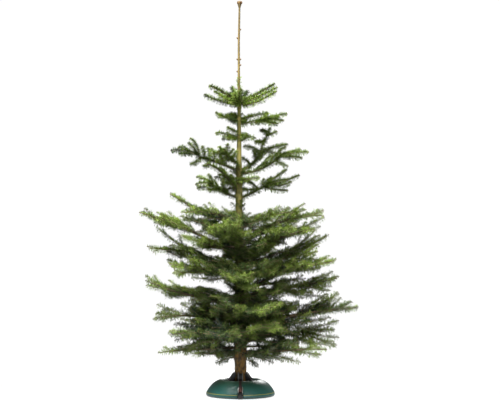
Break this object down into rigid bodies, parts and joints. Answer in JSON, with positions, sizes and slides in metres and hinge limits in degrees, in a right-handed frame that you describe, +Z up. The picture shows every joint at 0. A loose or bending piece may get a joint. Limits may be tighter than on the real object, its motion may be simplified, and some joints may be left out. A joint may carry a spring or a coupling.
{
  "type": "christmas tree",
  "caption": "Cut fir about two metres tall with a bare leader and tiered boughs, undecorated, held upright in a round green plastic stand with claws and a foot pedal.",
  "frame": {"origin": "centre of the stand's flat underside, on the surface the tree stands on", "axes": "+Z up along the trunk, +X to the tree's right seen from the pedal side, -Y towards the pedal"},
  "size_m": [1.0953, 1.0446, 1.976],
  "materials": {
    "trunk_bark": "golden brown, finely mottled bark, olive and smoother towards the top, tan on the leader",
    "limb_bark": "smooth grey-brown to olive twig bark",
    "needles_bright": "this year's needles, waxy mid green, lit from above",
    "needles_mid": "older needles, waxy darker green",
    "needles_dark": "inner needles, deep green",
    "needles_pale": "needle undersides with two pale bands, grey-green",
    "bud_brown": "resinous reddish brown winter buds",
    "shell_green": "moulded dark teal-green plastic, semi-gloss, with a fine olive line",
    "stripe_olive": "thin olive ring line round the shell",
    "basin_green": "moulded green plastic inside the stand",
    "black_plastic": "black moulded claws and pedal",
    "bracket_metal": "bright zinc-plated bracket",
    "latch_red": "dark red-brown latch in the bracket"
  },
  "bodies": {
    "root": {"bough_w11_left": "limb_bark", "bough_w4_left": "limb_bark", "bough_w4_right": "limb_bark", "bough_w5_left": "limb_bark", "bough_w5_right": "limb_bark", "bough_w7_left": "limb_bark", "foliage_w10_far": "needles_mid", "foliage_w10_left": "needles_mid", "foliage_w10_near": "needles_mid", "foliage_w10_right": "needles_mid", "foliage_w11_far": "needles_mid", "foliage_w11_left": "needles_mid", "foliage_w11_near": "needles_mid", "foliage_w11_near_left": "needles_mid", "foliage_w11_near_right": "needles_mid", "foliage_w11_right": "needles_mid", "foliage_w1_far": "needles_bright", "foliage_w1_left": "needles_bright", "foliage_w1_near": "needles_bright", "foliage_w1_right": "needles_bright", "foliage_w2_far": "needles_bright", "foliage_w2_left": "needles_bright", "foliage_w2_right": "needles_bright", "foliage_w3_left": "needles_bright", "foliage_w4_back_right": "needles_bright", "foliage_w4_left": "needles_bright", "foliage_w4_near": "needles_bright", "foliage_w4_right": "needles_bright", "foliage_w5_far": "needles_bright", "foliage_w5_left": "needles_bright", "foliage_w5_near_left": "needles_bright", "foliage_w5_right": "needles_bright", "foliage_w6_far": "needles_mid", "foliage_w6_left": "needles_mid", "foliage_w6_near_left": "needles_mid", "foliage_w6_right": "needles_mid", "foliage_w7_far": "needles_mid", "foliage_w7_left": "needles_mid", "foliage_w7_near": "needles_mid", "foliage_w7_near_right": "needles_mid", "foliage_w7_right": "needles_mid", "foliage_w8_far": "needles_mid", "foliage_w8_left": "needles_mid", "foliage_w8_near_left": "needles_mid", "foliage_w8_near_right": "needles_mid", "foliage_w8_right": "needles_mid", "foliage_w9_far_left": "needles_mid", "foliage_w9_left": "needles_mid", "foliage_w9_near": "needles_mid", "foliage_w9_right": "needles_mid", "stand_basin": "basin_green", "stand_bracket": "bracket_metal", "stand_claw_1": "black_plastic", "stand_claw_2": "black_plastic", "stand_claw_3": "black_plastic", "stand_claw_4": "black_plastic", "stand_claw_5": "black_plastic", "stand_pedal": "black_plastic", "stand_shell": "shell_green", "trunk": "trunk_bark"}
  },
  "joints": []
}
